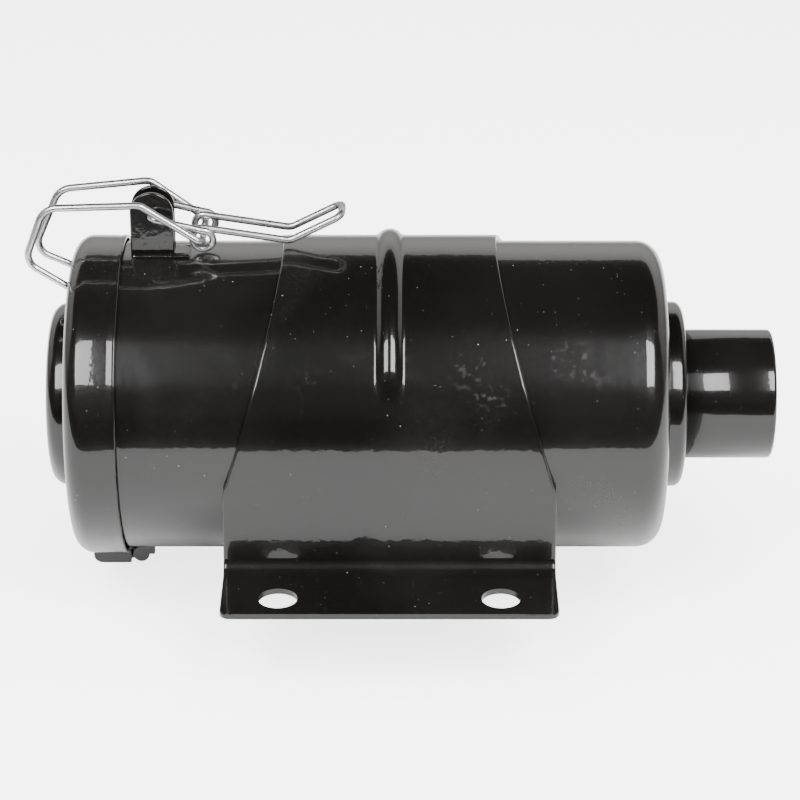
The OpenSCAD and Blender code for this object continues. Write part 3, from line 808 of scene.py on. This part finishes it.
# ---------------------------------------------------------------- floor, light and camera
FLOOR_Z = cad_box[0][2]
FRONT_EDGE = -0.33
COLUMNS, ROWS = 13, 9
grid_x = np.linspace(-3.0, 3.0, COLUMNS)
grid_y = np.linspace(FRONT_EDGE, 3.2, ROWS)
verts = [(x, y, FLOOR_Z) for y in grid_y for x in grid_x]
faces = []
for j in range(ROWS - 1):
    for i in range(COLUMNS - 1):
        k = j * COLUMNS + i
        faces.append((k, k + 1, k + COLUMNS + 1, k + COLUMNS))
mesh = bpy.data.meshes.new("floor")
mesh.from_pydata(verts, [], faces)
floor = bpy.data.objects.new("floor", mesh)
bpy.context.scene.collection.objects.link(floor)
n = Nodes("floor_card")
n.link(n.mix(n.noise(3.0, 2.0), (0.90, 0.90, 0.90), (0.93, 0.93, 0.925)), n.shader.inputs["Base Color"])
n.shader.inputs["Roughness"].default_value = 0.8
n.shader.inputs["Specular IOR Level"].default_value = 0.1
n.shader.inputs["Emission Color"].default_value = (1, 1, 1, 1)
seen_straight = n.add("ShaderNodeLightPath").outputs["Is Camera Ray"]
n.link(n.math("MULTIPLY", seen_straight, 3.2), n.shader.inputs["Emission Strength"])
floor.data.materials.append(n.material)

world = bpy.data.worlds.new("studio")
bpy.context.scene.world = world
world.use_nodes = True
tree = world.node_tree
background = tree.nodes["Background"]
coords = tree.nodes.new("ShaderNodeTexCoord")
parts = tree.nodes.new("ShaderNodeSeparateXYZ")
tree.links.new(coords.outputs["Generated"], parts.inputs[0])


def world_math(operation, a, b):
    node = tree.nodes.new("ShaderNodeMath")
    node.operation = operation
    for value, socket in ((a, node.inputs[0]), (b, node.inputs[1])):
        if isinstance(value, (int, float)):
            socket.default_value = value
        else:
            tree.links.new(value, socket)
    return node.outputs[0]


def world_step(source, low, high, out_low, out_high):
    node = tree.nodes.new("ShaderNodeMapRange")
    node.interpolation_type = "SMOOTHSTEP"
    for key, value in (("From Min", low), ("From Max", high), ("To Min", out_low), ("To Max", out_high)):
        node.inputs[key].default_value = value
    tree.links.new(source, node.inputs["Value"])
    return node.outputs["Result"]


height = parts.outputs["Z"]
behind = world_step(parts.outputs["Y"], -0.05, 0.10, 0.0, 1.0)
low_sky = world_step(height, 0.575, 0.595, 1.0, 0.0)
wall = world_math("MULTIPLY", world_math("MULTIPLY", behind, low_sky),
                  world_step(height, 0.0, 0.55, 0.55, 1.35))
room = world_math("MULTIPLY", world_step(height, 0.08, 0.20, 0.0, 1.0),
                  world_step(height, 0.35, 0.55, 1.0, 0.0))
level = world_math("ADD", wall, world_math("MULTIPLY", room, 0.10))
level = world_math("ADD", level, 0.012)
path = tree.nodes.new("ShaderNodeLightPath")
seen = tree.nodes.new("ShaderNodeMix")
seen.data_type = "FLOAT"
tree.links.new(path.outputs["Is Camera Ray"], seen.inputs[0])
tree.links.new(level, seen.inputs[2])
seen.inputs[3].default_value = 4.5
tree.links.new(seen.outputs[0], background.inputs["Strength"])
background.inputs["Color"].default_value = (1.0, 0.985, 0.97, 1.0)


def softbox(name, inner, outer, elevation, distance, tall, power, mirror=True):
    """Area light in front of the part at that elevation, from X = inner to X = outer."""
    data = bpy.data.lights.new(name, "AREA")
    data.shape = "RECTANGLE"
    data.size, data.size_y = abs(outer - inner), tall
    data.energy = power
    light = bpy.data.objects.new(name, data)
    bpy.context.scene.collection.objects.link(light)
    e = math.radians(elevation)
    away = Vector((0, -math.cos(e), math.sin(e)))
    light.location = Vector(((inner + outer) / 2, 0, AXIS_Z)) + away * distance
    light.rotation_euler = away.to_track_quat("Z", "Y").to_euler()
    light.visible_glossy = mirror


softbox("key_right", 0.285, 1.25, 48, 1.6, 0.98, 62)
softbox("key_left", -0.310, -1.20, 47, 1.6, 0.90, 44)
softbox("table_fill", -1.3, 1.3, 80, 2.0, 2.2, 82, mirror=False)

ELEVATION = math.radians(25.5)
DISTANCE = 1.015
LENS = 130.5
DROP = 6.5 / 800        # shift of the frame, as a share of its width
aim = Vector((0.0035, 0, AXIS_Z))
camera_data = bpy.data.cameras.new("camera")
camera_data.sensor_width = 36
camera_data.lens = LENS
camera_data.dof.use_dof = False
camera = bpy.data.objects.new("camera", camera_data)
bpy.context.scene.collection.objects.link(camera)
away = Vector((0, -math.cos(ELEVATION), math.sin(ELEVATION)))
camera.location = aim + away * DISTANCE
camera.rotation_euler = away.to_track_quat("Z", "Y").to_euler()
camera_data.shift_y = -DROP
bpy.context.scene.camera = camera
